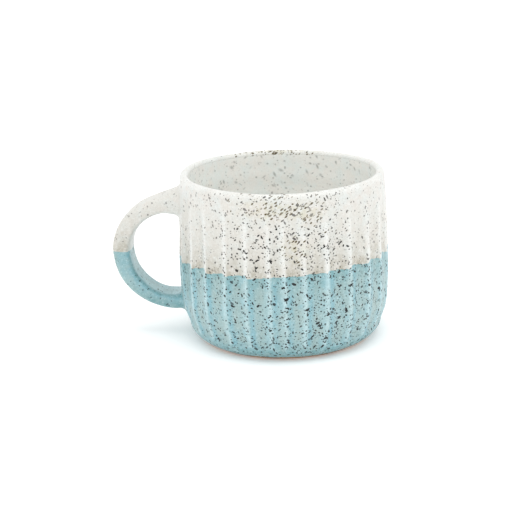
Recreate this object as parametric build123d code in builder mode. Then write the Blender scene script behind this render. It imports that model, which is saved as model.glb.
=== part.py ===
"""Stoneware mug: a thrown and carved bowl, a pulled strap handle, and glazes dipped in two colours.

Every layer that the real mug is built from is a solid of its own: the fired clay bowl, the handle,
the slip that joins them, the glaze inside the bowl, and the white and blue glazes outside.

Units are millimetres. The origin is the centre of the foot, on the surface that the mug stands on.
+Z is up, along the bowl's axis, and the handle stands out towards -X.
"""
import os
from math import cos, hypot, radians

from build123d import *

os.makedirs("parts", exist_ok=True)

# Bowl, as fired clay, before glaze
HEIGHT = 76.5                # table to the top of the glazed rim
RIM_Z = 74.55                # height where the wall starts to round over into the rim
RIM_OUTER_R = 45.4
INNER_R = 42.4               # the wall's inside is a plain cylinder
FLOOR_Z = 8.0                # the inside of the bowl's floor
INNER_CORNER_R = 17.0        # sweep of the inside corner between wall and floor
FOOT_BEVEL_Z = 1.3           # clay left bare above the table
FOOT_R = 37.0
FOOT_INNER_R = 31.0
FOOT_RECESS = 2.8            # depth turned out under the floor
RECESS_CORNER_R = 1.8
# The widest line of the bowl, along the crests between the flutes: distance from the axis, height
CREST_LINE = [
    (38.9, FOOT_BEVEL_Z),
    (41.5, 3.4),
    (42.8, 5.0),
    (43.5, 6.4),
    (43.8, 7.8),
    (44.6, 10.0),
    (45.7, 13.0),
    (46.65, 18.0),
    (47.2, 26.0),
    (47.4, 38.0),
    (46.8, 54.0),
    (46.05, 67.0),
    (RIM_OUTER_R, RIM_Z),
]

# Flutes, carved up the wall with a round-ended tool
FLUTE_DEPTH = 0.08           # depth below the crests for each degree of a flute's width
CREST_LAND = 1.3             # width left uncarved between two flutes, in degrees
# Width of each flute in degrees, anticlockwise from the first crest: carved by eye, so uneven
FIRST_CREST = 199.0          # degrees from +X, just past the handle on the -Y side
FLUTE_WIDTHS = [
    15.0, 13.0, 14.0, 12.5, 12.5, 8.0, 10.5, 12.5, 14.5, 14.0, 13.5, 13.0, 12.5, 13.5,
    12.5, 13.0, 12.0, 13.5, 13.0, 12.5, 13.5, 13.0, 13.5, 13.0, 12.5, 13.0, 13.0, 13.0,
]
# How deep the tool cuts as it follows the wall: height, and share of the flute's full depth
FLUTE_RUN = [
    (4.0, -1.5), (6.2, -0.3), (8.0, 0.7), (10.5, 1.0), (18.0, 1.0), (26.0, 1.0), (38.0, 1.0),
    (50.0, 1.0), (60.0, 1.0), (65.5, 0.6), (70.5, -0.5), (75.0, -1.6),
]

# Glaze and slip
GLAZE = 0.45
DIP_Z = 40.4                 # where the two colours meet, on the bowl's axis
DIP_TILT = 1.7               # degrees, higher on the side away from the handle
HANDLE_DIP_Z = 40.7
MIDDLE_Z = 40.0              # any height between the handle's two ends
SLIP_R = 47.2                # the handle's ends are trimmed to this radius and slip fills the rest

# Handle, section by section along the strap: distance from the bowl's axis, height, thickness, width
STRAP_SECTIONS = [
    (44.0, 63.6, 13.6, 20.0),
    (49.5, 62.8, 9.4, 16.8),
    (56.0, 61.7, 7.0, 15.0),
    (64.0, 58.2, 6.8, 14.6),
    (70.3, 52.0, 7.2, 14.6),
    (73.4, 45.0, 7.6, 14.8),
    (73.8, 38.5, 7.6, 15.0),
    (72.0, 31.0, 7.4, 15.0),
    (68.0, 24.7, 7.0, 15.0),
    (62.0, 19.7, 6.4, 14.8),
    (55.5, 17.0, 6.2, 14.8),
    (49.5, 16.2, 6.6, 15.8),
    (44.0, 16.0, 7.6, 18.4),
]
STRAP_EDGE_R = 2.8           # rounding along the strap's edges


def grown(points, amount):
    """Move each point of a line to the right of its direction of travel."""
    moved = []
    for index, (x, y) in enumerate(points):
        before = points[max(index - 1, 0)]
        after = points[min(index + 1, len(points) - 1)]
        run = (after[0] - before[0], after[1] - before[1])
        length = hypot(*run)
        moved.append((x + amount * run[1] / length, y - amount * run[0] / length))
    return moved


def crest_radius(height):
    """The crest line's distance from the axis at a height, by straight runs between its points."""
    for (r0, z0), (r1, z1) in zip(CREST_LINE, CREST_LINE[1:]):
        if height <= z1:
            return r0 + (r1 - r0) * (height - z0) / (z1 - z0)
    return RIM_OUTER_R


def flute_cutter(width, direction, cover):
    """The space that one flute takes from the wall, when a layer as thick as cover lines it."""
    half = radians((width - CREST_LAND) / 2)
    widest = max(radius for radius, _ in CREST_LINE)
    depth = FLUTE_DEPTH * width
    rise = widest * (1 - cos(half))
    axis_r = (2 * widest * depth - depth**2) / (2 * (depth - rise))
    reach = [(axis_r - crest_radius(z) + share * depth - cover, z) for z, share in FLUTE_RUN]
    bottom, top = FLUTE_RUN[0][0], FLUTE_RUN[-1][0]
    with BuildPart() as cutter:
        with BuildSketch(Plane.XZ.shift_origin((axis_r, 0, 0))):
            with BuildLine():
                Spline(*reach)
                Polyline(reach[-1], (0, top), (0, bottom), reach[0])
            make_face()
        revolve(axis=Axis((axis_r, 0, 0), (0, 0, 1)))
    return cutter.part.rotate(Axis.Z, direction)


def flute_cutters(cover):
    """All the flutes, laid side by side round the bowl."""
    cutters = []
    edge = FIRST_CREST
    for width in FLUTE_WIDTHS:
        cutters.append(flute_cutter(width, edge + width / 2, cover))
        edge += width
    return cutters


def bowl_form(cover):
    """The outside of the fluted bowl, filled in solid, with a layer as thick as cover on it."""
    line = grown(CREST_LINE, cover)
    foot, shoulder = (line[0][0], FOOT_BEVEL_Z), (RIM_OUTER_R + cover, RIM_Z)
    line = [foot, *line[1:-1], shoulder]
    mouth = (INNER_R - cover, RIM_Z)
    crown = ((RIM_OUTER_R + INNER_R) / 2, RIM_Z + (RIM_OUTER_R - INNER_R) / 2 + cover)
    cutters = flute_cutters(cover)
    with BuildPart() as form:
        with BuildSketch(Plane.XZ):
            with BuildLine():
                Line((0, FOOT_BEVEL_Z), foot)
                Spline(*line)
                ThreePointArc(shoulder, crown, mouth)
                Polyline(mouth, (0, RIM_Z), (0, FOOT_BEVEL_Z))
            make_face()
        revolve()
        add(cutters, mode=Mode.SUBTRACT)
    return form.part


def strap_form(cover):
    """The whole handle, its ends run on into the wall, with a layer as thick as cover on it."""
    middle = [Vector(-r, 0, z) for r, z, _, _ in STRAP_SECTIONS]
    with BuildPart() as strap:
        for index, (_, _, thickness, width) in enumerate(STRAP_SECTIONS):
            before = middle[max(index - 1, 0)]
            after = middle[min(index + 1, len(middle) - 1)]
            section = Plane(origin=middle[index], x_dir=(0, 1, 0), z_dir=after - before)
            with BuildSketch(section):
                RectangleRounded(width + 2 * cover, thickness + 2 * cover, STRAP_EDGE_R + cover)
        loft()
    return strap.part


def hollow_form(cover):
    """The space inside the bowl, made smaller by a layer as thick as cover."""
    wall_r = INNER_R - cover
    floor_z = FLOOR_Z + cover
    with BuildPart() as hollow:
        with BuildSketch(Plane.XZ):
            with BuildLine():
                corner = INNER_CORNER_R - cover
                side = FilletPolyline((0, floor_z), (wall_r, floor_z), (wall_r, RIM_Z), radius=corner)
                Polyline(side @ 1, (0, RIM_Z), (0, floor_z))
            make_face()
        revolve()
    return hollow.part


# What the pieces are cut from. The forms are made once, because the flutes take time.
clay_bowl = bowl_form(0)
glazed_bowl = bowl_form(GLAZE)
clay_strap = strap_form(0)
glazed_strap = strap_form(GLAZE)
hollow = hollow_form(0)
glazed_hollow = hollow_form(GLAZE)

dip_plane = Plane(origin=(0, 0, DIP_Z), x_dir=(1, 0, 0), z_dir=(0, 0, 1)).rotated((0, -DIP_TILT, 0))
handle_dip_plane = Plane.XY.offset(HANDLE_DIP_Z)
middle_plane = Plane.XY.offset(MIDDLE_Z)

# Bowl of bare clay, with the foot turned on the wheel after throwing
with BuildPart() as body:
    add(clay_bowl)
    with BuildSketch(Plane.XZ):
        Polygon((0, 0), (FOOT_R, 0), (CREST_LINE[0][0], FOOT_BEVEL_Z), (0, FOOT_BEVEL_Z), align=None)
    revolve()
    add(hollow, mode=Mode.SUBTRACT)
    with BuildSketch(Plane.XZ):
        with BuildLine():
            turned = FilletPolyline(
                (0, FOOT_RECESS), (FOOT_INNER_R, FOOT_RECESS), (FOOT_INNER_R, 0), radius=RECESS_CORNER_R
            )
            Polyline(turned @ 1, (0, 0), (0, FOOT_RECESS))
        make_face()
    revolve(mode=Mode.SUBTRACT)
body.part.label = "body"

# Strap handle, its ends trimmed to the bowl
with BuildPart() as handle:
    add(clay_strap)
    Cylinder(SLIP_R, HEIGHT, align=(Align.CENTER, Align.CENTER, Align.MIN), mode=Mode.SUBTRACT)
handle.part.label = "handle"

# Slip that fills the scored flutes behind each end of the handle
with BuildPart() as slip:
    Cylinder(SLIP_R, HEIGHT, align=(Align.CENTER, Align.CENTER, Align.MIN))
    add(clay_strap, mode=Mode.INTERSECT)
    add(clay_bowl, mode=Mode.SUBTRACT)

with BuildPart() as upper_handle_slip:
    add(slip.part)
    split(bisect_by=middle_plane, keep=Keep.TOP)
upper_handle_slip.part.label = "upper_handle_slip"

with BuildPart() as lower_handle_slip:
    add(slip.part)
    split(bisect_by=middle_plane, keep=Keep.BOTTOM)
lower_handle_slip.part.label = "lower_handle_slip"

# Glaze poured into the bowl, up to where the rim rounds over
with BuildPart() as liner_glaze:
    add(hollow)
    add(glazed_hollow, mode=Mode.SUBTRACT)
liner_glaze.part.label = "liner_glaze"

# Glaze outside the bowl, from the rim to the bare foot, in two colours
with BuildPart() as bowl_glaze:
    add(glazed_bowl)
    add(clay_bowl, mode=Mode.SUBTRACT)
    add(clay_strap, mode=Mode.SUBTRACT)

with BuildPart() as white_glaze:
    add(bowl_glaze.part)
    split(bisect_by=dip_plane, keep=Keep.TOP)
white_glaze.part.label = "white_glaze"

with BuildPart() as blue_glaze:
    add(bowl_glaze.part)
    split(bisect_by=dip_plane, keep=Keep.BOTTOM)
blue_glaze.part.label = "blue_glaze"

# Glaze on the handle, in the same two colours
with BuildPart() as strap_glaze:
    add(glazed_strap)
    add(clay_strap, mode=Mode.SUBTRACT)
    add(glazed_bowl, mode=Mode.SUBTRACT)

with BuildPart() as handle_white_glaze:
    add(strap_glaze.part)
    split(bisect_by=handle_dip_plane, keep=Keep.TOP)
handle_white_glaze.part.label = "handle_white_glaze"

with BuildPart() as handle_blue_glaze:
    add(strap_glaze.part)
    split(bisect_by=handle_dip_plane, keep=Keep.BOTTOM)
handle_blue_glaze.part.label = "handle_blue_glaze"

export_step(body.part, "parts/body.step")
export_step(handle.part, "parts/handle.step")
export_step(upper_handle_slip.part, "parts/upper_handle_slip.step")
export_step(lower_handle_slip.part, "parts/lower_handle_slip.step")
export_step(liner_glaze.part, "parts/liner_glaze.step")
export_step(white_glaze.part, "parts/white_glaze.step")
export_step(blue_glaze.part, "parts/blue_glaze.step")
export_step(handle_white_glaze.part, "parts/handle_white_glaze.step")
export_step(handle_blue_glaze.part, "parts/handle_blue_glaze.step")
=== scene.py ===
"""The looks of the mug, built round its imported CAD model.

Shapes are worked out in millimetres and turned into metres when a mesh is made. The bowl's axis is Z,
and the handle points along -X. Each piece rides the mug's one body. The bowl's wall is one function of
angle and height, and the clay, the glazes and the ends of the handle all follow it.
"""
import math

import bpy
import numpy as np
from mathutils import Matrix, Vector


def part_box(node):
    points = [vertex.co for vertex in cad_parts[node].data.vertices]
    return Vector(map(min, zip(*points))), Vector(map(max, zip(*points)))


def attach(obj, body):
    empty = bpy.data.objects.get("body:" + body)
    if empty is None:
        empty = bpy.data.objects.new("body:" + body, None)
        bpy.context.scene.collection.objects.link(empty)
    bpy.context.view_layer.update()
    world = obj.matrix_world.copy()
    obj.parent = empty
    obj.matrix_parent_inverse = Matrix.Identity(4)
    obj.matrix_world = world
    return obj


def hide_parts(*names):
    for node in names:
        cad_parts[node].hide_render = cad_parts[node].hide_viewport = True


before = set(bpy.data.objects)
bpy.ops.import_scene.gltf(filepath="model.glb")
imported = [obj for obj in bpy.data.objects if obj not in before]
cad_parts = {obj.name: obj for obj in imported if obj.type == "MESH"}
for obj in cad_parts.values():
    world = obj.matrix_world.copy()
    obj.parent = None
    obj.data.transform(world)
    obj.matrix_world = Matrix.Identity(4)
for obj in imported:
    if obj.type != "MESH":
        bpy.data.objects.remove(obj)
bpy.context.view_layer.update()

MM = 0.001
RANDOM = np.random.default_rng(20)


def box_mm(node):
    """Lowest and highest corner of a CAD node, in millimetres."""
    low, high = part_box(node)
    return np.array(low) / MM, np.array(high) / MM


# Sizes read from the frame
LINER_LOW, LINER_HIGH = box_mm("liner_glaze")
GLAZE_TOP_Z = box_mm("white_glaze")[1][2]
CLAY_TOP_Z = box_mm("body")[1][2]
BARE_Z = box_mm("blue_glaze")[0][2]      # the glaze ends here, and the foot below it is bare
RIM_Z = LINER_HIGH[2]                    # the lip starts to round over here
GLAZE = GLAZE_TOP_Z - CLAY_TOP_Z
LIP_R = GLAZE_TOP_Z - RIM_Z
WALL_R = LINER_HIGH[0] - GLAZE           # the inside wall, glaze included
RIM_OUTER_R = WALL_R + 2 * LIP_R
FLOOR_Z = LINER_LOW[2] + GLAZE           # the floor inside, glaze included

# The bowl's outline along the crests, glaze included: height, distance from the axis
CREST_LINE = [
    (BARE_Z, 39.3),
    (3.4, 41.9),
    (5.0, 43.2),
    (6.4, 43.9),
    (7.8, 44.1),
    (10.0, 45.0),
    (13.0, 46.1),
    (18.0, 47.1),
    (26.0, 47.7),
    (38.0, 47.9),
    (54.0, 47.2),
    (67.0, 46.5),
    (RIM_Z, RIM_OUTER_R),
]
WIDEST_R = max(radius for _, radius in CREST_LINE)
# The turned foot from the middle of its recess out to the bare edge: distance from the axis, height
FOOT_PROFILE = [
    (0.4, 2.8), (15.0, 2.8), (27.0, 2.8), (29.4, 2.7), (30.5, 2.1), (31.0, 1.3), (31.1, 0.5),
    (31.5, 0.08), (32.2, 0.0), (35.9, 0.0), (36.9, 0.1), (37.6, 0.45), (38.2, 0.95),
]
BARE_EDGE_WAVES = ((7, 0.1, 0), (17, 0.06, 2))
EDGE_RUN, EDGE_THINNING = 0.8, 0.85    # height over which the coat thins to its bare edge, and how much
INNER_CORNER_R = 16.55       # corner between the floor and the wall inside, at the glaze's surface
THROWING_MARKS = 0.11        # height of the spiral left inside by the thrower's fingers
THROWING_PITCH = 9.5
MARK_LIFT = 0.4              # how far the spiral also lifts the surface, as a share of its height
FLOOR_FADE, RIM_FADE = 8.0, 7.0    # the spiral fades out over these runs at the middle and the rim

# How far a hand-thrown bowl is from true. Each wave has its turns in a circle, size and phase
OVAL_WAVES = ((2, 0.0035, 1.1), (3, 0.0015, 0.4))
RIM_WAVES = ((2, 0.22, 2.0), (5, 0.1, 0.0))
LEAN = 0.25                  # how far the lower half stands towards +X

# Flutes: the angle of the first crest, and each flute's width in degrees, anticlockwise from above
FIRST_CREST = 199.0
FLUTE_WIDTHS = [
    15.0, 13.0, 14.0, 12.5, 12.5, 8.0, 10.5, 12.5, 14.5, 14.0, 13.5, 13.0, 12.5, 13.5,
    12.5, 13.0, 12.0, 13.5, 13.0, 12.5, 13.5, 13.0, 13.5, 13.0, 12.5, 13.0, 13.0, 13.0,
]
FLUTE_DEPTH = 0.08           # millimetres deep for each degree of width
CREST_LAND = math.radians(0.9)
CREST_SOFTNESS = 0.2         # how far the crests are rounded, in millimetres
CREST_SWAY_RUN = 14.0        # how slowly a crest sways on its way up
NO_CUT = -9.0                # stands for a depth where a gouge doesn't reach
# Share of a flute's full depth at each height
FLUTE_RUN = [
    (0.0, -1.6), (5.4, -0.8), (6.6, 0.1), (7.8, 0.85), (9.5, 1.12), (14.0, 1.0),
    (58.0, 1.0), (65.0, 0.62), (71.0, -0.1), (77.0, -1.0),
]
COLUMNS_PER_FLUTE = 20
COLUMN_CROWDING = 0.45       # how much closer the mesh columns stand at the crests

# How the glaze lies across a flute, in millimetres from a crest
CREST_GLOW = (0.65, 1.45)    # how far the pale band reaches past a crest and before it: partly thin glaze, partly painted highlight
RICH_PLACE = 2.1             # how far past a crest the glaze runs richest
RICH_REACH = 1.3
FLUTE_MIDDLE = (1.5, 4.5)    # where the flute's middle starts, and where it is whole
WALL_FIELDS = ("crest", "rich", "hollow")

# Where golden specks and big dark blotches gather: angle, height, half width, half height
GOLD_PATCHES = [(-91.0, 70.0, 14.0, 4.5), (-74.0, 68.0, 8.0, 4.5), (-80.0, 52.0, 5.0, 6.0),
                (62.0, 58.0, 12.0, 6.0), (98.0, 76.0, 20.0, 4.0), (5.0, 50.0, 6.0, 6.0)]
BOLD_PATCHES = [(-66.0, 66.0, 6.0, 4.0), (-99.0, 25.0, 9.0, 7.0), (-52.0, 23.0, 16.0, 11.0),
                (-30.0, 30.0, 8.0, 9.0), (80.0, 62.0, 9.0, 6.0), (110.0, 22.0, 10.0, 8.0)]
# Where the dark specks lie thickest in each glaze: angle, half width in radians, share at the sides
WHITE_SPECKS = (-82.0, 0.72, 0.32)
BLUE_SPECKS = (-66.0, 0.9, 0.37)
BACK_SPECKS = 0.45           # how many more lie at the back, and over how wide an angle
BACK_SPREAD = 1.0
# Share of the specks that is kept: high on the white wall and lower down, each with its height, then on
# the lip, among the golden ones, in the blue, and inside
HIGH_SPECKS, LOW_SPECKS = (68.0, 0.64), (50.0, 0.9)
LIP_SPECKS, GOLD_SPECKS, BLUE_DENSITY, LINER_DENSITY = 0.3, 0.4, 1.15, 0.3

# Dip line
DIP_Z = 40.4
DIP_SLOPE = math.tan(math.radians(1.7))
DIP_DRAIN = 1.5              # how far the line slants across a flute at the sides
DIP_FRONT = math.radians(-85)
DIP_SIDES = (1.2, 1.9)       # how far round from the front the slant starts to fade, and ends
DIP_STEP = (0.88, 1.06)      # where the line steps at a crest, in half widths of the flute
DIP_WAVES = ((37, 0.07, 37), (71, 0.1, 71), (133, 0.09, 133), (197, 0.08, 197))
HANDLE_DIP_Z = 40.7
HANDLE_DIP_WAVES = ((5, 0.12, 0), (13, 0.07, 1))
WHITE_POOL, BLUE_POOL, HANDLE_POOL = 8.0, 6.0, 9.0    # how far from the dip line the glaze is thicker
FOOT_POOL_AND_SHADE_Z, FOOT_POOL_AND_SHADE_RUN = 5.0, 2.0    # the blue is darker up to this height, partly thick glaze and partly painted shade, and how soon it fades above

# Handle: distance from the bowl's axis, height, thickness and width of the clay strap
STRAP_SECTIONS = [
    (49.5, 62.8, 9.4, 16.8),
    (56.0, 61.7, 7.0, 15.0),
    (64.0, 58.2, 6.8, 14.6),
    (70.3, 52.0, 7.2, 14.6),
    (73.4, 45.0, 7.6, 14.8),
    (73.8, 38.5, 7.6, 15.0),
    (72.0, 31.0, 7.4, 15.0),
    (68.0, 24.7, 7.0, 15.0),
    (62.0, 19.7, 6.4, 14.8),
    (55.5, 17.0, 6.2, 14.8),
    (49.5, 16.2, 6.6, 15.8),
]
STRAP_LAST = len(STRAP_SECTIONS) - 1
DIP_SECTIONS = (3.0, 6.5)    # the handle's dip line lies between these two places
ROOT_PLACE = 0.35            # how far along the first and last spans the strap starts to flare
# How square the strap's section is outside and inside, and how square a landing is
OUTER_POWER, INNER_POWER, LANDING_POWER = 3.2, 4.4, 2.3
# Where a darker, richer band is painted along the strap's inner edges, as painted shade where the side
# face turns
# in: how far inwards it faces there, where 1 is the inner face and 0 the sides, and how far the band
# reaches
EDGE_SHADE_BAND = (0.58, 0.27)
EDGE_RICH = (0.35, 0.45)
# Where each end of the handle lands on the wall: height of the middle, half height, half width
UPPER_LANDING = (63.2, 8.6, 11.6)
LOWER_LANDING = (16.4, 5.4, 10.6)
# How far the flare keeps the strap's direction and the wall's, as shares of its length
STRAP_KEEP, WALL_KEEP = 0.5, 0.42
SUNK_STEP, SUNK_DEPTH = 0.5, 0.25    # how far on, and how deep, the flare's last ring runs under the wall
ROOT_MARGIN = 1.0            # how far round a landing the flutes are smoothed
ROOT_FADE = (0.85, 1.5)      # where the smoothing starts to fade and ends, in half sizes of it
# A pad of slip from the middle of its face to the middle of its back: share of the landing's size,
# height above the clay
SLIP_PROFILE = ((0.02, 0.1), (0.3, 0.1), (0.55, 0.1), (0.62, -0.15), (0.55, -0.6), (0.02, -0.6))

# Rows and points of the meshes
WHITE_ROWS = (0.62, 30, 28)          # share of the height where the spacing changes, rows either side
BLUE_ROWS = (0.45, 36, 24, 1.35)     # the same, and how the lowest rows crowd
CLAY_SPLIT, CLAY_LOWER_ROWS, CLAY_UPPER_ROWS = 22.0, 26, 40    # the same for the clay, split in mm
LIP_ROWS = 15
CLAY_LIP_ROWS = 9
FLOOR_ROWS, CORNER_ROWS, WALL_ROWS = 22, 24, 34
RING_POINTS = 72
ROOT_ROWS = 16
COAT_ROWS, STRAP_ROWS = 70, 90
CREASE = math.radians(50)

# Camera: degrees round from the front, up and of roll, then millimetres
CAMERA_AZIMUTH, CAMERA_ELEVATION, CAMERA_ROLL = 5.0, 16.48, -1.604
CAMERA_TARGET = (-12.56, -1.10, 36.56)
CAMERA_DISTANCE = 650.4
LENS, SENSOR = 99.9, 36.0
# Lights, in metres and watts: name, place, size, power
LIGHTS = [
    ("softbox", (0.05, -0.15, 1.1), 0.9, 3.3),
    ("window", (-0.8, -0.5, 0.6), 0.7, 0.6),
    ("bounce", (0.9, -0.2, 0.5), 0.9, 0.7),
]
LIT_POINT = (0, 0, 0.04)
FLOOR_SIZE = 4.0
FLOOR_GLOW = 0.16
WHITE = (1, 1, 1, 1)

FLUTE_EDGES = np.radians(FIRST_CREST + np.concatenate([[0], np.cumsum(FLUTE_WIDTHS)]))
FLUTE_COUNT = len(FLUTE_WIDTHS)
COLUMN_COUNT = FLUTE_COUNT * COLUMNS_PER_FLUTE
edge_phase = RANDOM.uniform(0, 2 * np.pi, FLUTE_COUNT)
edge_sway = np.radians(RANDOM.uniform(0.1, 0.45, FLUTE_COUNT))
flute_depth = FLUTE_DEPTH * np.array(FLUTE_WIDTHS) * RANDOM.uniform(0.88, 1.12, FLUTE_COUNT)
flute_top_shift = RANDOM.uniform(-1.5, 1.5, FLUTE_COUNT)
# The flutes end a little higher at the sides than in front
flute_foot_shift = 0.3 - 1.4 * np.abs(np.cos(FLUTE_EDGES[:-1])) + RANDOM.uniform(-0.4, 0.4, FLUTE_COUNT)
flute_dip_shift = RANDOM.uniform(-0.45, 0.45, FLUTE_COUNT)
# Slight swellings of the wall: turns in a circle, pitch up the wall, phase, size
WAVES = [
    (turns, pitch, RANDOM.uniform(0, 2 * np.pi), RANDOM.uniform(0.008, 0.03))
    for turns in (3, 5, 8, 13, 21) for pitch in (0.06, 0.13, 0.27)
]


def smooth(points, x):
    """A smooth curve through points (x, y), read at x."""
    xs, ys = np.array(points, float).T
    slopes = np.gradient(ys, xs)
    x = np.clip(np.asarray(x, float), xs[0], xs[-1])
    i = np.clip(np.searchsorted(xs, x, side="right") - 1, 0, len(xs) - 2)
    h = xs[i + 1] - xs[i]
    t = (x - xs[i]) / h
    return (
        ys[i] * (1 + 2 * t) * (1 - t) ** 2
        + slopes[i] * h * t * (1 - t) ** 2
        + ys[i + 1] * t**2 * (3 - 2 * t)
        + slopes[i + 1] * h * t**2 * (t - 1)
    )


def step(low, high, x):
    """0 at low, 1 at high, smooth between them and level beyond them."""
    t = np.clip((np.asarray(x, float) - low) / (high - low), 0, 1)
    return t * t * (3 - 2 * t)


def bell(x, middle, reach):
    """1 at the middle, falling away smoothly on both sides."""
    return np.exp(-(((x - middle) / reach) ** 2))


def ripple(angle, waves):
    """Waves added together round a circle: each has its turns, size and phase."""
    return sum(size * np.sin(turns * angle + phase) for turns, size, phase in waves)


def wrapped(angle):
    """The same angle, from -pi to pi."""
    return (angle + np.pi) % (2 * np.pi) - np.pi


def unit(vectors):
    """The same directions, each one long."""
    return vectors / np.linalg.norm(vectors, axis=-1, keepdims=True)


def edge_angle(index, z):
    """Where the crest that starts a flute stands at height z."""
    turns, inside = divmod(index, FLUTE_COUNT)
    sway = edge_sway[inside] * np.sin(z / CREST_SWAY_RUN + edge_phase[inside])
    return FLUTE_EDGES[inside] + 2 * np.pi * turns + sway


def flute_share(index, z):
    """How much of its full depth a flute has at height z."""
    upper = smooth(FLUTE_RUN, z + flute_top_shift[index])
    lower = smooth(FLUTE_RUN, z + flute_foot_shift[index])
    return np.where(z > DIP_Z, upper, lower)


def gouged(index, theta, z):
    """How deep the round-ended gouge of one flute cuts below the crests, NO_CUT where it doesn't."""
    start, end = edge_angle(index, z), edge_angle(index + 1, z)
    half = (end - start) / 2 - CREST_LAND / 2
    phi = wrapped(theta - (start + end) / 2)
    depth = flute_depth[index]
    axis_r = (2 * WIDEST_R * depth - depth**2) / (2 * (depth - WIDEST_R * (1 - np.cos(half))))
    gouge_r = axis_r - WIDEST_R + flute_share(index, z) * depth
    inside = gouge_r**2 - (axis_r * np.sin(phi)) ** 2
    scoop = axis_r * np.cos(phi) - np.sqrt(np.maximum(inside, 0))
    return np.where((inside > 0) & (np.abs(phi) < 1.5 * half), WIDEST_R - scoop, NO_CUT)


def near_root(theta, z):
    """1 where the potter smoothed the flutes under an end of the handle, 0 well away from it."""
    across = WIDEST_R * np.abs(wrapped(theta - np.pi))
    smoothed = np.zeros(np.broadcast(theta, z).shape)
    for middle, half_height, half_width in (UPPER_LANDING, LOWER_LANDING):
        up = (z - middle) / (half_height + ROOT_MARGIN)
        away = np.hypot(across / (half_width + ROOT_MARGIN), up)
        smoothed = np.maximum(smoothed, 1 - step(*ROOT_FADE, away))
    return smoothed


def wall(theta, z):
    """The glazed wall's distance from the axis at each point, and how strongly three things show
    there, 0 to 1: the pale band on a crest, partly thin glaze and partly painted highlight, the rich
    glaze just past it, and the flute's middle."""
    cut = np.zeros(np.broadcast(theta, z).shape)
    thin_glaze_and_highlight, rich, nearest = np.zeros_like(cut), np.zeros_like(cut), np.full_like(cut, WIDEST_R)
    for index in range(FLUTE_COUNT):
        cut += np.exp(gouged(index, theta, z) / CREST_SOFTNESS)
        past = WIDEST_R * wrapped(theta - edge_angle(index, z))
        thin_glaze_and_highlight = np.maximum(thin_glaze_and_highlight, bell(past, 0, np.where(past > 0, *CREST_GLOW)))
        rich = np.maximum(rich, bell(past, RICH_PLACE, RICH_REACH))
        nearest = np.minimum(nearest, np.abs(past))
    kept = 1 - near_root(theta, z)
    carved = kept * np.clip(smooth(FLUTE_RUN, z), 0, 1)
    radius = smooth(CREST_LINE, z) - kept * CREST_SOFTNESS * np.log1p(cut)
    for turns, pitch, phase, size in WAVES:
        radius = radius + size * np.sin(turns * theta + pitch * z + phase)
    return radius, (carved * thin_glaze_and_highlight, carved * rich, carved * step(*FLUTE_MIDDLE, nearest))


def placed(radius, theta, z):
    """Points at a radius, angle and height, with the slight lean and oval of a hand-thrown bowl."""
    height = np.clip(z / RIM_Z, 0, 1.1)
    out = radius * (1 + height * ripple(theta, OVAL_WAVES))
    lean = LEAN * (1 - step(0.45, 1.0, height))
    lift = height**3 * ripple(theta, RIM_WAVES)
    return np.stack([out * np.cos(theta) + lean, out * np.sin(theta), z + lift], -1)


def dip_height(theta):
    """Height of the dip line round the bowl. It slants across each flute at the sides, and makes a
    small step at each crest."""
    line = DIP_Z + WIDEST_R * DIP_SLOPE * np.cos(theta) + ripple(theta, DIP_WAVES)
    for index in range(FLUTE_COUNT):
        centre = (FLUTE_EDGES[index] + FLUTE_EDGES[index + 1]) / 2
        half = (FLUTE_EDGES[index + 1] - FLUTE_EDGES[index]) / 2
        across = wrapped(theta - centre) / half
        turned = wrapped(centre - DIP_FRONT)
        slant = DIP_DRAIN * np.sin(turned) * (1 - step(*DIP_SIDES, np.abs(turned)))
        drained = flute_dip_shift[index] - slant * across
        line = line + (1 - step(*DIP_STEP, np.abs(across))) * drained
    return line


# ---------------------------------------------------------------- meshes
def column_grid(z_rows):
    """Angles for a grid of heights, shape (rows, columns). Each column follows the crests."""
    columns = z_rows.shape[1]
    theta = np.empty_like(z_rows)
    for column in range(columns):
        index, part = divmod(column, COLUMNS_PER_FLUTE)
        share = part / COLUMNS_PER_FLUTE
        share -= COLUMN_CROWDING * math.sin(2 * math.pi * share) / (2 * math.pi)
        z = z_rows[:, column]
        start, end = edge_angle(index, z), edge_angle(index + 1, z)
        theta[:, column] = start + (end - start) * share
    return theta


def level_grid(rows, z):
    """Heights for a grid of rows that are all at height z."""
    return np.full((rows, COLUMN_COUNT), z)


def row_shares(split, lower_rows, upper_rows, power=1.0):
    """Shares from 0 to 1 for the rows of a wall: lower_rows up to the split, upper_rows from it on.
    A power over 1 crowds the lowest rows."""
    lower = split * np.linspace(0, 1, lower_rows) ** power
    upper = split + (1 - split) * np.linspace(0, 1, upper_rows)
    return np.concatenate([lower, upper[1:]])[:, None]


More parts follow.
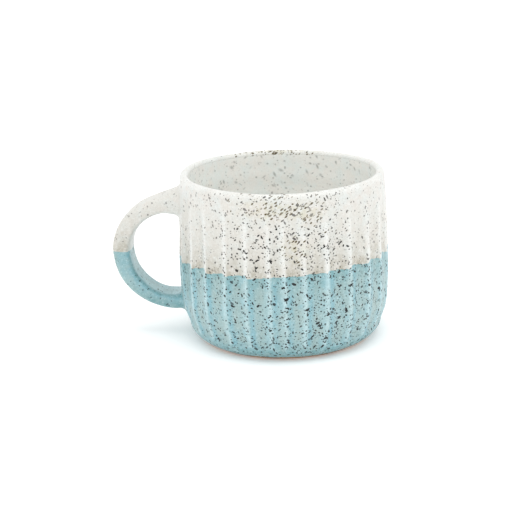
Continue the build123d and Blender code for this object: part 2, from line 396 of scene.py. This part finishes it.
def make_mesh(name, rings, loop=False, fields=None, poles=False):
    """A closed mesh from rings of points in millimetres. loop joins the last ring to the first, and
    poles closes each end with a fan to the middle of its ring. fields are named values per point."""
    rows, columns, _ = rings.shape
    points = rings.reshape(-1, 3)
    here = np.arange(columns)
    following = (here + 1) % columns
    quads = []
    for row in range(rows if loop else rows - 1):
        a, b = row * columns, ((row + 1) % rows) * columns
        quads.append(np.stack([a + here, a + following, b + following, b + here], -1))
    faces = np.concatenate(quads).tolist()
    if poles:
        first_pole, last_row = len(points), (rows - 1) * columns
        points = np.concatenate([points, rings[0].mean(0)[None], rings[-1].mean(0)[None]])
        for h, f in zip(here.tolist(), following.tolist()):
            faces.append([first_pole, f, h])
            faces.append([first_pole + 1, last_row + h, last_row + f])
    mesh = bpy.data.meshes.new(name)
    mesh.from_pydata((points * MM).tolist(), [], faces)
    mesh.update()
    for key, values in (fields or {}).items():
        values = values.reshape(-1)
        if poles:
            values = np.concatenate([values, [values[:columns].mean(), values[-columns:].mean()]])
        attribute = mesh.attributes.new(key, "FLOAT", "POINT")
        attribute.data.foreach_set("value", values.astype(np.float32))
    mesh.polygons.foreach_set("use_smooth", [True] * len(mesh.polygons))
    mesh.set_sharp_from_angle(angle=CREASE)
    piece = bpy.data.objects.new(name, mesh)
    bpy.context.scene.collection.objects.link(piece)
    return piece


def outward(rings):
    """Unit normals of a grid of rings whose columns run round the mug."""
    along = np.gradient(rings, axis=0)
    around = (np.roll(rings, -1, axis=1) - np.roll(rings, 1, axis=1)) / 2
    return unit(np.cross(around, along))


def shell(name, rings, fields):
    """A coat: the outer surface that rings give, and the same surface moved in by the glaze."""
    inner = (rings - GLAZE * outward(rings))[::-1]
    both = {key: np.concatenate([values, values[::-1]]) for key, values in fields.items()}
    return make_mesh(name, np.concatenate([rings, inner]), loop=True, fields=both)


# ---------------------------------------------------------------- bowl
def lip_rings(count, depth=0.0):
    """The rim, rounding over from the outside of the wall to the inside, depth mm below the glaze's
    surface, and its angles."""
    turn = np.linspace(0, np.pi, count)[1:, None]
    theta = column_grid(level_grid(count - 1, RIM_Z))
    start = wall(theta[:1], level_grid(1, RIM_Z))[0]
    uneven = (start - RIM_OUTER_R) * (1 + np.cos(turn)) / 2
    radius = WALL_R + LIP_R + (LIP_R - depth) * np.cos(turn) + uneven
    z = RIM_Z + (LIP_R - depth) * np.sin(turn)
    return placed(radius, theta, z + 0 * theta), theta


def speck_fields(theta, z, centre, half_width, side):
    """How thickly the dark specks, the golden specks and the big blotches lie at each point."""
    front = bell(wrapped(theta - np.radians(centre)), 0, half_width)
    back = bell(wrapped(theta - np.radians(centre + 180)), 0, BACK_SPREAD)
    fields = {"specks": side + (1 - side) * front + BACK_SPECKS * back}
    for name, patches in (("gold", GOLD_PATCHES), ("bold", BOLD_PATCHES)):
        total = np.zeros(np.broadcast(theta, z).shape)
        for angle, height, width, tall in patches:
            across = WIDEST_R * wrapped(theta - np.radians(angle))
            total = np.maximum(total, bell(across, 0, width) * bell(z, height, tall))
        fields[name] = total
    return fields


def pooled(z, dip, crest, reach):
    """How thick the glaze lies by the dip line. It runs off the crests into the flutes."""
    return (1 - crest) * np.exp(-np.abs(z - dip) / reach)


def make_white_glaze():
    """The white coat from the dip line up, over the lip. Its specks are fewer high on the wall and
    among the golden ones, and fewest on the lip."""
    dip = dip_height(column_grid(level_grid(1, DIP_Z)))
    z = dip + (RIM_Z - dip) * row_shares(*WHITE_ROWS)
    theta = column_grid(z)
    radius, shares = wall(theta, z)
    lip, lip_theta = lip_rings(LIP_ROWS)
    all_theta = np.concatenate([theta, lip_theta])
    all_z = np.concatenate([z, lip[..., 2]])
    fields = speck_fields(all_theta, all_z, *WHITE_SPECKS)
    outside = np.arange(len(all_z))[:, None] < len(z) + LIP_ROWS // 2
    on_wall = np.minimum(1 - step(RIM_Z + 0.3 * LIP_R, RIM_Z + LIP_R, all_z), outside)
    (high_z, high_share), (low_z, low_share) = HIGH_SPECKS, LOW_SPECKS
    fields["specks"] *= high_share + (low_share - high_share) * step(high_z, low_z, all_z)
    fields["specks"] *= LIP_SPECKS + (1 - LIP_SPECKS) * on_wall
    fields["specks"] *= 1 - (1 - GOLD_SPECKS) * fields["gold"]
    for key, share in zip(WALL_FIELDS, shares):
        fields[key] = np.concatenate([share, np.zeros(lip_theta.shape)])
    # The lip takes the pale crest tint: partly thin glaze over the edge, partly painted highlight
    fields["crest"] = np.maximum(fields["crest"], step(RIM_Z - 1, RIM_Z + 1, all_z))
    fields["pool_and_shade"] = pooled(all_z, dip, fields["crest"], WHITE_POOL)
    return shell("white_glaze_coat", np.concatenate([placed(radius, theta, z), lip]), fields)


def make_blue_glaze():
    """The blue coat from the bare foot up to the dip line, thinning out at the foot."""
    base = column_grid(level_grid(1, DIP_Z))
    dip, bare = dip_height(base), BARE_Z + ripple(base, BARE_EDGE_WAVES)
    z = bare + (dip - bare) * row_shares(*BLUE_ROWS)
    theta = column_grid(z)
    radius, shares = wall(theta, z)
    edge = np.clip((z - bare) / EDGE_RUN, 0, 1)
    radius = radius - EDGE_THINNING * GLAZE * (1 - np.sqrt(1 - (1 - edge) ** 2))
    fields = speck_fields(theta, z, *BLUE_SPECKS)
    fields["specks"] *= BLUE_DENSITY
    fields |= zip(WALL_FIELDS, shares)
    # Darker towards the foot: partly glaze pooled there, partly painted shade
    foot_pool_and_shade = np.exp(-np.maximum(z - FOOT_POOL_AND_SHADE_Z, 0) / FOOT_POOL_AND_SHADE_RUN)
    fields["pool_and_shade"] = np.maximum(pooled(z, dip, fields["crest"], BLUE_POOL), foot_pool_and_shade)
    return shell("blue_glaze_coat", placed(radius, theta, z), fields)


def hollow_rings(depth):
    """The bowl's inside from the middle of the floor up the wall, with the thrower's spiral in it,
    depth mm below the glaze's surface."""
    wall_r, floor_z, corner = WALL_R + depth, FLOOR_Z - depth, INNER_CORNER_R + depth
    flat = np.linspace(0.4, wall_r - corner, FLOOR_ROWS)
    turn = np.linspace(0, np.pi / 2, CORNER_ROWS)[1:]
    up = np.linspace(floor_z + corner, RIM_Z, WALL_ROWS)[1:]
    r = np.concatenate([flat, wall_r - corner + corner * np.sin(turn), np.full(len(up), wall_r)])
    z = np.concatenate([np.full(len(flat), floor_z), floor_z + corner * (1 - np.cos(turn)), up])
    run = np.concatenate([[0], np.cumsum(np.hypot(np.diff(r), np.diff(z)))])[:, None]
    theta = column_grid(level_grid(len(r), RIM_Z))
    fade = step(0, FLOOR_FADE, run) * step(0, RIM_FADE, RIM_Z - z[:, None])
    swell = THROWING_MARKS * fade * np.sin(2 * np.pi * run / THROWING_PITCH - theta)
    return placed(r[:, None] - swell, theta, z[:, None] + 0 * theta + MARK_LIFT * swell)


def make_liner():
    """The coat inside: the clay's side up to the rim, then its own surface back down."""
    rings = np.concatenate([hollow_rings(GLAZE), hollow_rings(0.0)[::-1]])
    zero = np.zeros(rings.shape[:2])
    fields = {key: zero for key in (*WALL_FIELDS, "pool_and_shade", "gold", "bold")}
    fields["specks"] = zero + LINER_DENSITY
    return make_mesh("liner_glaze_coat", rings, poles=True, fields=fields)


def make_clay_bowl():
    """The clay: foot, wall under the glaze, rim and inside, in one closed surface."""
    level = level_grid(len(FOOT_PROFILE), DIP_Z)
    foot_r, foot_z = np.array(FOOT_PROFILE).T[:, :, None] + 0 * level
    height = RIM_Z - BARE_Z
    shares = row_shares(CLAY_SPLIT / height, CLAY_LOWER_ROWS, CLAY_UPPER_ROWS)
    z = BARE_Z + height * shares + level_grid(1, 0.0)
    theta = column_grid(z)
    rings = [
        placed(foot_r, column_grid(level), foot_z),
        placed(wall(theta, z)[0] - GLAZE, theta, z),
        lip_rings(CLAY_LIP_ROWS, GLAZE)[0],
        hollow_rings(GLAZE)[::-1][1:],
    ]
    return make_mesh("clay_bowl", np.concatenate(rings), poles=True)


# ---------------------------------------------------------------- handle
ring_turn = np.linspace(0, 2 * np.pi, RING_POINTS, endpoint=False)


def rounded(turn, half_width, half_height, outer_power, inner_power):
    """Points of a rounded oblong: across, and towards the outside of the handle."""
    c, s = np.cos(turn), np.sin(turn)
    power = np.where(s > 0, outer_power, inner_power)
    across = half_width * np.sign(c) * np.abs(c) ** (2 / power)
    out = half_height * np.sign(s) * np.abs(s) ** (2 / power)
    return across, out


def strap_size(kind, place):
    """One of the strap's four sizes at a place along it, counted in sections from the upper end."""
    return smooth([(station, section[kind]) for station, section in enumerate(STRAP_SECTIONS)], place)


def strap_point(place, turn, cover):
    """A point of the strap's surface, cover mm above the clay. turn goes round the strap."""
    r, z, thickness, width = (strap_size(kind, place) for kind in range(4))
    near = 0.02
    run_r, run_z = (strap_size(kind, place + near) - strap_size(kind, place - near) for kind in range(2))
    length = np.hypot(run_r, run_z)
    across, out = rounded(turn, width / 2 + cover, thickness / 2 + cover, OUTER_POWER, INNER_POWER)
    return np.stack([-(r - out * run_z / length), across + 0 * r, z + out * run_r / length], -1)


def landing_point(landing, turn, grow):
    """A point on the bowl's wall, on the outline where an end of the handle lands."""
    middle, half_height, half_width = landing
    sizes = (half_width + grow, half_height + grow)
    across, up = rounded(turn, *sizes, LANDING_POWER, LANDING_POWER)
    theta = np.pi - np.arcsin(across / WIDEST_R)
    return placed(wall(theta, middle + up)[0], theta, middle + up)


def root_rings(landing, upper, cover):
    """Rings from the strap's end out onto the wall, flaring into it with no edge."""
    place = ROOT_PLACE if upper else STRAP_LAST - ROOT_PLACE
    onward = -0.05 if upper else 0.05
    turn = ring_turn if upper else -ring_turn
    start = strap_point(place, ring_turn, cover)
    heading = unit(strap_point(place + onward, ring_turn, cover) - start)
    end = landing_point(landing, turn, cover)
    away = unit(landing_point(landing, turn, cover + 0.3) - end)
    reach = np.linalg.norm(end - start, axis=1, keepdims=True)
    first, second = start + STRAP_KEEP * reach * heading, end - WALL_KEEP * reach * away
    t = np.linspace(0, 1, ROOT_ROWS)[1:, None, None]
    leaving = start * (1 - t) ** 3 + 3 * first * t * (1 - t) ** 2
    arriving = 3 * second * t**2 * (1 - t) + end * t**3
    return leaving + arriving


def strap_rings(first, last, count, cover):
    """Rings along the strap between two places, each a number or one number per point of a ring."""
    share = np.linspace(0, 1, count)[:, None]
    place = first + (last - first) * share + 0 * ring_turn
    return strap_point(place, ring_turn + 0 * place, cover)


def dip_places():
    """Where each line along the strap crosses the handle's dip line, found by halving."""
    low, high = (np.full(RING_POINTS, place) for place in DIP_SECTIONS)
    line = HANDLE_DIP_Z + ripple(ring_turn, HANDLE_DIP_WAVES)
    for _ in range(40):
        middle = (low + high) / 2
        above = strap_point(middle, ring_turn, GLAZE)[:, 2] > line
        low, high = np.where(above, middle, low), np.where(above, high, middle)
    return (low + high) / 2


def sunk(rings):
    """The rings, and one more past the landing, just under the wall, so that no gap shows."""
    beyond = rings[-1] + SUNK_STEP * (rings[-1] - rings[-2])
    inward = unit(-beyond * [1, 1, 0])
    return np.concatenate([rings, (beyond + SUNK_DEPTH * inward)[None]])


def handle_coat(name, rings, flipped):
    """A coat over rings of the strap. Its inner face is painted paler, as painted light; the glaze is
    thick by the dip line; the inner edges and the underside are painted darker, as painted shade."""
    zero = np.zeros(rings.shape[:2])
    z = rings[..., 2]
    inward = -np.sin(ring_turn)          # 1 on the inner face, 0 at the sides, -1 outside
    below_dip = step(HANDLE_DIP_Z + 1, HANDLE_DIP_Z - 2, z)
    # Painted shade: a darker band along the inner edges below the dip line
    inner_edge_shade = bell(inward, *EDGE_SHADE_BAND) * below_dip
    # Painted shade: the strap's outer face is darkened low down, where it faces the floor
    under = 0.95 * step(0.3, -0.1, inward) * step(30, 15, z)
    near_dip = np.where(z > HANDLE_DIP_Z, 0.9, 0.45) * step(0.7, 0.5, inward)
    near_dip = near_dip * np.exp(-np.abs(z - HANDLE_DIP_Z) / HANDLE_POOL)
    # Painted shade along the inner edges and underneath, laid into the same field as the real pooling by
    # the dip line
    darkening = np.maximum(inner_edge_shade * (0.35 + 0.65 * step(37, 27, z)), under)
    fields = {
        # Painted light: the strap's inner face takes the pale crest tint, as if more light fell on it
        "crest": step(0.8, 0.93, inward) + zero,
        # The rich tint along the inner edges is part of the same painted shade
        "rich": bell(inward, *EDGE_RICH) * below_dip,
        "hollow": 0.8 * step(0.5, 0.2, inward) + zero,
        "pool_and_shade": np.maximum(darkening, near_dip),
        "specks": 0.2 + 0.25 * inner_edge_shade,
        "gold": zero,
        "bold": zero,
    }
    if flipped:
        rings = rings[:, ::-1]
        fields = {key: values[:, ::-1] for key, values in fields.items()}
    return shell(name, rings, fields)


def make_handle_white():
    """The white coat from the handle's dip line up and out onto the bowl."""
    strap = strap_rings(dip_places(), ROOT_PLACE, COAT_ROWS, GLAZE)
    rings = np.concatenate([strap, root_rings(UPPER_LANDING, True, GLAZE)])
    return handle_coat("handle_white_coat", sunk(rings), False)


def make_handle_blue():
    """The blue coat from the handle's dip line down and out onto the bowl."""
    strap = strap_rings(dip_places(), STRAP_LAST - ROOT_PLACE, COAT_ROWS, GLAZE)
    rings = np.concatenate([strap, root_rings(LOWER_LANDING, False, GLAZE)])
    return handle_coat("handle_blue_coat", sunk(rings), True)


def make_handle_clay():
    """The clay strap under both coats."""
    upper = root_rings(UPPER_LANDING, True, 0.0)[::-1]
    middle = strap_rings(ROOT_PLACE, STRAP_LAST - ROOT_PLACE, STRAP_ROWS, 0.0)
    lower = root_rings(LOWER_LANDING, False, 0.0)
    return make_mesh("handle_clay", np.concatenate([upper, middle, lower])[:, ::-1], poles=True)


def make_slip(name, landing):
    """Slip between the bowl and an end of the handle: a pad on the clay, under the glaze."""
    middle, half_height, half_width = landing
    rings = []
    for size, proud in SLIP_PROFILE:
        outline = landing_point((middle, half_height * size, half_width * size), ring_turn, 0.0)
        rings.append(outline + unit(outline * [1, 1, 0]) * (proud - GLAZE))
    return make_mesh(name, np.array(rings)[::-1], poles=True)


# ---------------------------------------------------------------- materials
def srgb(red, green, blue):
    """A colour given as 0 to 255, as Blender's linear values."""
    values = np.array([red, green, blue]) / 255
    linear = np.where(values <= 0.04045, values / 12.92, ((values + 0.055) / 1.055) ** 2.4)
    return (*linear.tolist(), 1.0)


class Shader:
    """A material's node tree, with one short call for each kind of node. place is in millimetres."""

    def __init__(self, name):
        self.material = bpy.data.materials.new(name)
        self.material.use_nodes = True
        self.tree = self.material.node_tree
        self.surface = self.tree.nodes["Principled BSDF"].inputs
        coordinates = self.tree.nodes.new("ShaderNodeTexCoord").outputs["Object"]
        self.place = self.vector("SCALE", coordinates, scale=1 / MM)

    def put(self, socket, value):
        """Give an input a value, or link it to an output."""
        if isinstance(value, bpy.types.NodeSocket):
            self.tree.links.new(value, socket)
        else:
            socket.default_value = value

    def vector(self, operation, first, second=None, scale=None):
        node = self.tree.nodes.new("ShaderNodeVectorMath")
        node.operation = operation
        self.put(node.inputs[0], first)
        if second is not None:
            self.put(node.inputs[1], second)
        if scale is not None:
            self.put(node.inputs["Scale"], scale)
        return node.outputs["Vector"]

    def math(self, operation, first, second):
        node = self.tree.nodes.new("ShaderNodeMath")
        node.operation = operation
        self.put(node.inputs[0], first)
        self.put(node.inputs[1], second)
        return node.outputs[0]

    def times(self, first, second):
        return self.math("MULTIPLY", first, second)

    def spread(self, value, low, high, to_low=0.0, to_high=1.0):
        """value from low..high to to_low..to_high, smoothly, and no further."""
        node = self.tree.nodes.new("ShaderNodeMapRange")
        node.interpolation_type = "SMOOTHSTEP"
        for socket, item in zip(node.inputs, (value, low, high, to_low, to_high)):
            self.put(socket, item)
        return node.outputs[0]

    def mix(self, amount, first, second):
        """The first colour, going over to the second as amount rises from 0 to 1."""
        node = self.tree.nodes.new("ShaderNodeMix")
        node.data_type = "RGBA"
        self.put(node.inputs[0], amount)
        self.put(node.inputs[6], first)
        self.put(node.inputs[7], second)
        return node.outputs[2]

    def noise(self, size, detail, rough, seed):
        """Soft noise with features about size mm across. Its outputs are a value and a colour."""
        node = self.tree.nodes.new("ShaderNodeTexNoise")
        self.put(node.inputs["Vector"], self.vector("ADD", self.place, (seed, -seed, 2 * seed)))
        node.inputs["Scale"].default_value = 1 / size
        node.inputs["Detail"].default_value = detail
        node.inputs["Roughness"].default_value = rough
        return node.outputs

    def clouds(self, noise, low, high, to_low=0.0, to_high=1.0):
        """Patches of noise: its values from low to high, spread from to_low to to_high. noise holds
        its size, detail, roughness and seed."""
        return self.spread(self.noise(*noise)[0], low, high, to_low, to_high)

    def field(self, name):
        """A named value that the mesh holds at each point."""
        node = self.tree.nodes.new("ShaderNodeAttribute")
        node.attribute_name = name
        return node.outputs["Fac"]

    def bump(self, height, distance_mm, strength, normal=None):
        node = self.tree.nodes.new("ShaderNodeBump")
        node.inputs["Strength"].default_value = strength
        node.inputs["Distance"].default_value = distance_mm * MM
        self.put(node.inputs["Height"], height)
        if normal is not None:
            self.put(node.inputs["Normal"], normal)
        return node.outputs["Normal"]

    def ragged(self, amount, size, seed):
        """The place, pushed about by noise, so that what is drawn there has ragged edges."""
        push = self.vector("SUBTRACT", self.noise(size, 1.0, 0.5, seed)["Color"], (0.5, 0.5, 0.5))
        return self.vector("ADD", self.place, self.vector("SCALE", push, scale=amount))

    def specks(self, place, apart, radii, presence, turn=(0, 0, 0), stretch=1.0, soft=0.25):
        """Specks scattered about apart mm from each other. radii are the smallest and largest, and
        presence, 0 to 1, is the share of places that hold one. stretch makes them longer one way.
        Gives the specks, and a random tone for each."""
        mapping = self.tree.nodes.new("ShaderNodeMapping")
        mapping.vector_type = "TEXTURE"
        mapping.inputs["Rotation"].default_value = [math.radians(angle) for angle in turn]
        mapping.inputs["Scale"].default_value = (apart * stretch, apart, apart)
        self.put(mapping.inputs["Vector"], place)
        cells = self.tree.nodes.new("ShaderNodeTexVoronoi")
        cells.inputs["Scale"].default_value = 1.0
        self.put(cells.inputs["Vector"], mapping.outputs[0])
        split = self.tree.nodes.new("ShaderNodeSeparateColor")
        self.put(split.inputs[0], cells.outputs["Color"])
        present = self.math("LESS_THAN", split.outputs[0], presence)
        low, high = (radius / apart for radius in radii)
        radius = self.math("ADD", self.times(split.outputs[1], high - low), low)
        away = self.math("DIVIDE", cells.outputs["Distance"], radius)
        inside = self.spread(away, 1 - soft, 1 + soft, 1.0, 0.0)
        return self.times(inside, present), split.outputs[2]


# Dark iron specks: dust, dots, slivers, splinters three ways round and crumbs. Each layer has the
# distance apart, the radii, the share of places that hold one, the turn, the stretch and the strength
SPECK_LAYERS = [
    (0.85, (0.12, 0.26), 0.46, (10, 0, 40), 1.0, 0.6),
    (1.10, (0.20, 0.38), 0.50, (0, 0, 0), 1.2, 1.0),
    (1.35, (0.18, 0.35), 0.56, (25, 15, -35), 2.2, 1.0),
    (1.75, (0.23, 0.43), 0.74, (0, 64, 12), 2.5, 1.0),
    (1.75, (0.23, 0.43), 0.74, (0, -36, 8), 2.5, 1.0),
    (1.75, (0.23, 0.43), 0.56, (0, -50, 84), 2.5, 1.0),
    (2.60, (0.34, 0.60), 0.48, (15, 28, 10), 1.8, 1.0),
]
BLOTCH = (2.6, (0.40, 0.62))     # distance apart and radii of the big blotches
BLOTCH_LIE = ((0, -28, 10), 2.0)    # their turn and stretch


def glaze_colour(shader, tints):
    """The glaze's colour, in soft patches: pale on the crests, partly thin glaze and partly painted
    highlight, pale on the handle's inner face as painted light, thick and darker where it pools, and
    darker where painted shade is laid on.
    """
    times, mix, clouds = shader.times, shader.mix, shader.clouds
    crest, rich, hollow = (shader.field(key) for key in WALL_FIELDS)
    colour = mix(clouds((8.0, 3.0, 0.6, 3.0), 0.38, 0.62), tints["cool"], tints["base"])
    colour = mix(clouds((5.0, 3.0, 0.6, 17.0), 0.45, 0.64, 0.0, tints["blush"]), colour, tints["warm"])
    drift = clouds((4.5, 2.0, 0.55, 47.0), 0.3, 0.6, 0.3, 1.0)
    colour = mix(times(hollow, times(drift, 0.75)), colour, tints["hollow"])
    colour = mix(times(times(rich, drift), tints["rich_amount"]), colour, tints["rich"])
    # Darker where the glaze pools, and where painted shade is laid on the handle and at the foot
    darkening = times(shader.field("pool_and_shade"), clouds((3.0, 3.0, 0.6, 29.0), 0.32, 0.62, 0.3, 1.0))
    colour = mix(times(darkening, tints["pool_amount"]), colour, tints["pool_and_shade"])
    # Pale where the crest field is: partly thin glaze, partly painted highlight, and painted light on the
    # handle's inner face
    thin_glaze_and_highlight = times(crest, clouds((4.0, 2.0, 0.5, 41.0), 0.3, 0.62, 0.45, 1.0))
    colour = mix(times(thin_glaze_and_highlight, tints["crest_amount"]), colour, tints["crest"])
    darker = clouds((0.75, 3.0, 0.65, 7.0), 0.42, 0.66)
    colour = mix(times(darker, 0.4), colour, tints["mottle"])
    paler = clouds((0.9, 3.0, 0.65, 37.0), 0.5, 0.68)
    return mix(times(paler, 0.36), colour, tints["crest"])


def with_gold(shader, colour, tints):
    """The colour with golden specks and their stain added."""
    gold = shader.field("gold")
    stain = shader.times(shader.clouds((2.2, 3.0, 0.6, 53.0), 0.44, 0.6), gold)
    colour = shader.mix(shader.times(stain, 0.45), colour, tints["stain"])
    presence = shader.times(gold, 1.3)
    place = shader.ragged(0.5, 0.9, 5.0)
    golden, tone = shader.specks(place, 0.95, (0.2, 0.42), presence, (0, -35, 12), 2.4, 0.12)
    strength = shader.spread(tone, 0.0, 0.8, 0.65, 1.0)
    return shader.mix(shader.times(golden, strength), colour, tints["golden"])


def iron_specks(shader, presence, soft, coarse):
    """Where the glaze is darkened by iron, 0 to 1, with the big blotches where the mesh is bold."""
    clumps = shader.clouds((4.0, 2.0, 0.55, 61.0), 0.33, 0.62, 0.5, 1.3)
    share = shader.times(presence, clumps)
    place, blotch_place = shader.ragged(0.32, 0.6, 11.0), shader.ragged(0.8, 1.1, 71.0)
    dark, _ = shader.specks(blotch_place, *BLOTCH, shader.field("bold"), *BLOTCH_LIE, soft)
    for apart, radii, amount, turn, stretch, strength in SPECK_LAYERS:
        radii = [coarse * radius for radius in radii]
        here = shader.times(share, amount)
        part, tone = shader.specks(place, coarse * apart, radii, here, turn, stretch, soft)
        part = shader.times(part, shader.spread(tone, 0.0, 0.5, 0.75 * strength, strength))
        dark = shader.math("MAXIMUM", dark, part)
    return dark


def glaze(name, tints, soft=0.12, coarse=1.0):
    """A satin speckled glaze. tints are its colours and how far each goes. soft blurs the specks and
    coarse makes them larger and fewer."""
    shader = Shader(name)
    presence = shader.field("specks")
    dark = iron_specks(shader, presence, soft, coarse)
    deep = shader.spread(presence, 0.1, 0.7, tints["far_specks"], 1.0)
    rusty = shader.clouds((2.5, 1.0, 0.5, 83.0), 0.42, 0.6)
    iron = shader.mix(rusty, tints["iron"], tints["rust"])
    colour = with_gold(shader, glaze_colour(shader, tints), tints)
    shader.put(shader.surface["Base Color"], shader.mix(shader.times(dark, deep), colour, iron))

    rough = shader.clouds((1.6, 3.0, 0.6, 91.0), 0.3, 0.7, 0.3, 0.42)
    shader.put(shader.surface["Roughness"], shader.math("ADD", rough, shader.times(dark, 0.2)))
    shader.surface["IOR"].default_value = 1.5
    swell = shader.bump(shader.noise(2.6, 2.0, 0.5, 97.0)[0], 0.1, 0.6)
    pitted = shader.math("SUBTRACT", shader.noise(0.5, 2.0, 0.5, 13.0)[0], dark)
    shader.put(shader.surface["Normal"], shader.bump(pitted, 0.02, 0.5, swell))
    return shader.material


def stoneware(name):
    """Bare fired clay: toasted brown, grainy, with grog and iron in it."""
    shader = Shader(name)
    toast = shader.clouds((7.0, 4.0, 0.6, 2.0), 0.35, 0.65)
    colour = shader.mix(toast, srgb(142, 102, 68), srgb(172, 132, 94))
    grain = shader.clouds((0.35, 3.0, 0.7, 6.0), 0.35, 0.65)
    colour = shader.mix(shader.times(grain, 0.35), colour, srgb(186, 146, 108))
    iron, _ = shader.specks(shader.ragged(0.3, 0.6, 9.0), 1.3, (0.12, 0.36), 0.35)
    colour = shader.mix(shader.times(iron, 0.8), colour, srgb(52, 34, 24))
    grog, _ = shader.specks(shader.place, 1.7, (0.15, 0.4), 0.3, (30, 10, 60))
    colour = shader.mix(shader.times(grog, 0.5), colour, srgb(206, 172, 134))
    shader.put(shader.surface["Base Color"], colour)
    shader.put(shader.surface["Roughness"], shader.spread(grain, 0.0, 1.0, 0.72, 0.9))
    height = shader.math("ADD", grain, shader.times(grog, 0.8))
    shader.put(shader.surface["Normal"], shader.bump(height, 0.06, 0.7))
    return shader.material


WHITE_TINTS = {
    "base": srgb(217, 217, 212), "warm": srgb(216, 210, 203), "cool": srgb(214, 218, 215),
    "crest": srgb(232, 234, 231), "rich": srgb(208, 206, 199), "hollow": srgb(211, 209, 202),
    "pool_and_shade": srgb(158, 152, 134), "mottle": srgb(194, 191, 182), "stain": srgb(194, 187, 155),
    "golden": srgb(82, 68, 26), "iron": srgb(8, 7, 5), "rust": srgb(44, 36, 26),
    "blush": 0.6, "rich_amount": 0.4, "pool_amount": 0.95, "crest_amount": 0.6, "far_specks": 0.5,
}
# The same white glaze inside the bowl, painted paler as painted light, to offset the shade that falls
# inside
LINER_TINTS_PAINTED_LIGHTER = WHITE_TINTS | {
    "base": srgb(238, 237, 232), "warm": srgb(236, 231, 224), "cool": srgb(232, 237, 234),
    "crest": srgb(245, 246, 243), "mottle": srgb(227, 226, 220), "iron": srgb(28, 26, 22),
    "blush": 0.4, "far_specks": 0.3,
}
BLUE_TINTS = {
    "base": srgb(155, 186, 189), "warm": srgb(163, 180, 175), "cool": srgb(144, 184, 192),
    "crest": srgb(192, 219, 223), "rich": srgb(120, 174, 188), "hollow": srgb(156, 177, 174),
    "pool_and_shade": srgb(96, 148, 153), "mottle": srgb(124, 157, 160), "stain": srgb(150, 170, 156),
    "golden": srgb(66, 76, 58), "iron": srgb(2, 5, 7), "rust": srgb(14, 22, 24),
    "blush": 0.6, "rich_amount": 0.75, "pool_amount": 0.85, "crest_amount": 0.75, "far_specks": 0.65,
}

# ---------------------------------------------------------------- the pieces
white = glaze("white_glaze_finish", WHITE_TINTS)
blue = glaze("blue_glaze_finish", BLUE_TINTS)
liner = glaze("liner_finish_painted_lighter", LINER_TINTS_PAINTED_LIGHTER, 0.8, 1.2)
clay = stoneware("stoneware_finish")

pieces = [
    (make_clay_bowl(), clay, "stoneware", "body"),
    (make_handle_clay(), clay, "stoneware", "handle"),
    (make_liner(), liner, "white_glaze", "liner_glaze"),
    (make_white_glaze(), white, "white_glaze", "white_glaze"),
    (make_blue_glaze(), blue, "blue_glaze", "blue_glaze"),
    (make_handle_white(), white, "white_glaze", "handle_white_glaze"),
    (make_handle_blue(), blue, "blue_glaze", "handle_blue_glaze"),
    (make_slip("upper_slip_pad", UPPER_LANDING), clay, "stoneware", "upper_handle_slip"),
    (make_slip("lower_slip_pad", LOWER_LANDING), clay, "stoneware", "lower_handle_slip"),
]
for piece, finish, slot, node in pieces:
    piece.data.materials.append(finish)
    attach(piece, "root")
    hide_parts(node)


# ---------------------------------------------------------------- floor, light, camera
def make_floor():
    """White paper under and behind the mug. It glows faintly, as a lit table does."""
    bpy.ops.mesh.primitive_circle_add(vertices=96, radius=FLOOR_SIZE, fill_type="NGON")
    floor = bpy.context.object
    floor.name = "floor"
    shader = Shader("floor_paper")
    tone = shader.clouds((60.0, 2.0, 0.5, 0.0), 0.3, 0.7)
    paper = shader.mix(tone, (0.95, 0.95, 0.95, 1), (0.97, 0.97, 0.97, 1))
    shader.put(shader.surface["Base Color"], paper)
    shader.surface["Roughness"].default_value = 0.9
    shader.surface["Emission Color"].default_value = WHITE
    shader.surface["Emission Strength"].default_value = FLOOR_GLOW
    floor.data.materials.append(shader.material)


def area_light(name, place, size, power):
    """A round soft light that points at the mug."""
    light = bpy.data.lights.new(name, "AREA")
    light.shape = "DISK"
    light.size = size
    light.energy = power
    lamp = bpy.data.objects.new(name, light)
    lamp.location = place
    lamp.rotation_euler = (Vector(LIT_POINT) - Vector(place)).to_track_quat("-Z", "Y").to_euler()
    bpy.context.scene.collection.objects.link(lamp)


def make_camera():
    """A long lens that looks down a little on the mug, from just right of its front."""
    up, azimuth = math.radians(CAMERA_ELEVATION), math.radians(CAMERA_AZIMUTH)
    away = Vector((math.sin(azimuth) * math.cos(up), -math.cos(azimuth) * math.cos(up), math.sin(up)))
    turned = away.to_track_quat("Z", "Y").to_matrix().to_4x4()
    rolled = Matrix.Rotation(math.radians(CAMERA_ROLL), 4, "Z")
    place = Vector(CAMERA_TARGET) * MM + away * CAMERA_DISTANCE * MM
    camera = bpy.data.objects.new("camera", bpy.data.cameras.new("camera"))
    camera.data.lens = LENS
    camera.data.sensor_width = SENSOR
    camera.matrix_world = Matrix.Translation(place) @ turned @ rolled
    bpy.context.scene.collection.objects.link(camera)
    bpy.context.scene.camera = camera


def make_world():
    """White light from all round."""
    world = bpy.data.worlds.new("studio")
    world.use_nodes = True
    background = world.node_tree.nodes["Background"].inputs
    background["Color"].default_value = WHITE
    background["Strength"].default_value = 1.0
    bpy.context.scene.world = world
    bpy.context.scene.view_settings.view_transform = "Standard"
    bpy.context.scene.view_settings.look = "None"


make_floor()
for lamp in LIGHTS:
    area_light(*lamp)
make_camera()
make_world()
